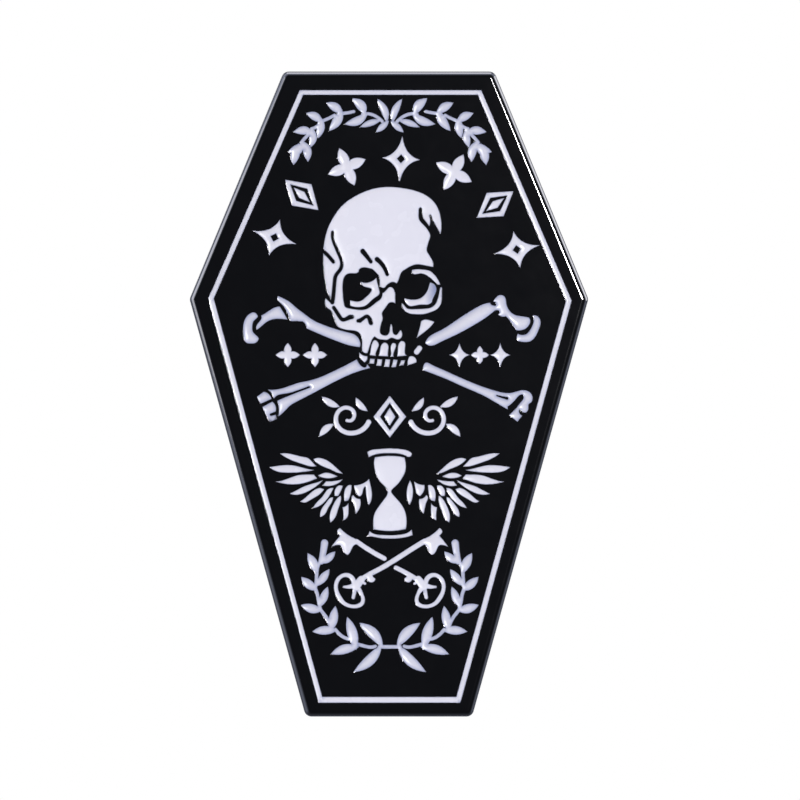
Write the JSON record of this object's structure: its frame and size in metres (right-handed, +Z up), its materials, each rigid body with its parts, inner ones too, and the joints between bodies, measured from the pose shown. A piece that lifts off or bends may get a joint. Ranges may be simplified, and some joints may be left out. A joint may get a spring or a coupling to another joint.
{
  "type": "enamel lapel pin",
  "caption": "Coffin-shaped black and white soft-enamel pin with a skull, bones, hourglass and keys, on nail posts with butterfly clutches.",
  "frame": {"origin": "centre of the flat back face", "axes": "+Z up the coffin as it is worn, +Y out of the back along the posts, so the face looks along -Y"},
  "size_m": [0.0234, 0.0096, 0.038],
  "materials": {
    "white_enamel": "glossy, baked",
    "black_plated_alloy": "polished black plating",
    "nickel_post": "bright nickel",
    "solder": "dull",
    "nickel_disc": "bright nickel",
    "nickel_spring": "bright nickel"
  },
  "bodies": {
    "pin": {"base_plate": "black_plated_alloy", "enamel_arc_ornaments": "white_enamel", "enamel_bone_lower_left": "white_enamel", "enamel_bone_lower_right": "white_enamel", "enamel_bone_upper_left": "white_enamel", "enamel_bone_upper_right": "white_enamel", "enamel_border_line": "white_enamel", "enamel_broken_key": "white_enamel", "enamel_hourglass_bulbs": "white_enamel", "enamel_hourglass_cap": "white_enamel", "enamel_hourglass_foot": "white_enamel", "enamel_left_eye_highlight": "white_enamel", "enamel_lower_laurel": "white_enamel", "enamel_lower_teeth": "white_enamel", "enamel_right_brow": "white_enamel", "enamel_right_eye_highlight": "white_enamel", "enamel_right_eye_rim": "white_enamel", "enamel_scroll_ornament": "white_enamel", "enamel_skull_chips": "white_enamel", "enamel_skull_face": "white_enamel", "enamel_small_ornaments_left": "white_enamel", "enamel_small_ornaments_right": "white_enamel", "enamel_upper_laurel_left": "white_enamel", "enamel_upper_laurel_right": "white_enamel", "enamel_upper_teeth": "white_enamel", "enamel_whole_key": "white_enamel", "enamel_wing_left": "white_enamel", "enamel_wing_right": "white_enamel", "upper_post": "nickel_post", "upper_post_solder": "solder", "lower_post": "nickel_post", "lower_post_solder": "solder"},
    "upper_disc": {"upper_clutch_disc": "nickel_disc"},
    "upper_spring": {"upper_clutch_spring_base": "nickel_spring"},
    "upper_wing_left": {"upper_clutch_wing_left": "nickel_spring"},
    "upper_wing_right": {"upper_clutch_wing_right": "nickel_spring"},
    "lower_disc": {"lower_clutch_disc": "nickel_disc"},
    "lower_spring": {"lower_clutch_spring_base": "nickel_spring"},
    "lower_wing_left": {"lower_clutch_wing_left": "nickel_spring"},
    "lower_wing_right": {"lower_clutch_wing_right": "nickel_spring"}
  },
  "joints": [
    {"name": "upper_clutch_slide", "type": "slide", "parent": "pin", "child": "upper_disc", "axis": [0, 1, 0], "range_m": [-0.0019, 0.009]},
    {"name": "upper_clutch_turn", "type": "hinge", "parent": "upper_disc", "child": "upper_spring", "pos_m": [0, 0.0028, 0.009], "axis": [0, 1, 0], "continuous": true},
    {"name": "upper_pinch_left", "type": "hinge", "parent": "upper_spring", "child": "upper_wing_left", "pos_m": [-0.00135, 0.0046, 0.009], "axis": [0, 0, -1], "range_deg": [0, 8]},
    {"name": "upper_pinch_right", "type": "hinge", "parent": "upper_spring", "child": "upper_wing_right", "pos_m": [0.00135, 0.0046, 0.009], "axis": [0, 0, 1], "range_deg": [0, 8]},
    {"name": "lower_clutch_slide", "type": "slide", "parent": "pin", "child": "lower_disc", "axis": [0, 1, 0], "range_m": [-0.0019, 0.009]},
    {"name": "lower_clutch_turn", "type": "hinge", "parent": "lower_disc", "child": "lower_spring", "pos_m": [0, 0.0028, -0.009], "axis": [0, 1, 0], "continuous": true},
    {"name": "lower_pinch_left", "type": "hinge", "parent": "lower_spring", "child": "lower_wing_left", "pos_m": [-0.00135, 0.0046, -0.009], "axis": [0, 0, -1], "range_deg": [0, 8]},
    {"name": "lower_pinch_right", "type": "hinge", "parent": "lower_spring", "child": "lower_wing_right", "pos_m": [0.00135, 0.0046, -0.009], "axis": [0, 0, 1], "range_deg": [0, 8]}
  ],
  "couplings": [
    {"joint": "upper_pinch_right", "follows": "upper_pinch_left", "ratio": 1},
    {"joint": "lower_pinch_right", "follows": "lower_pinch_left", "ratio": 1}
  ]
}
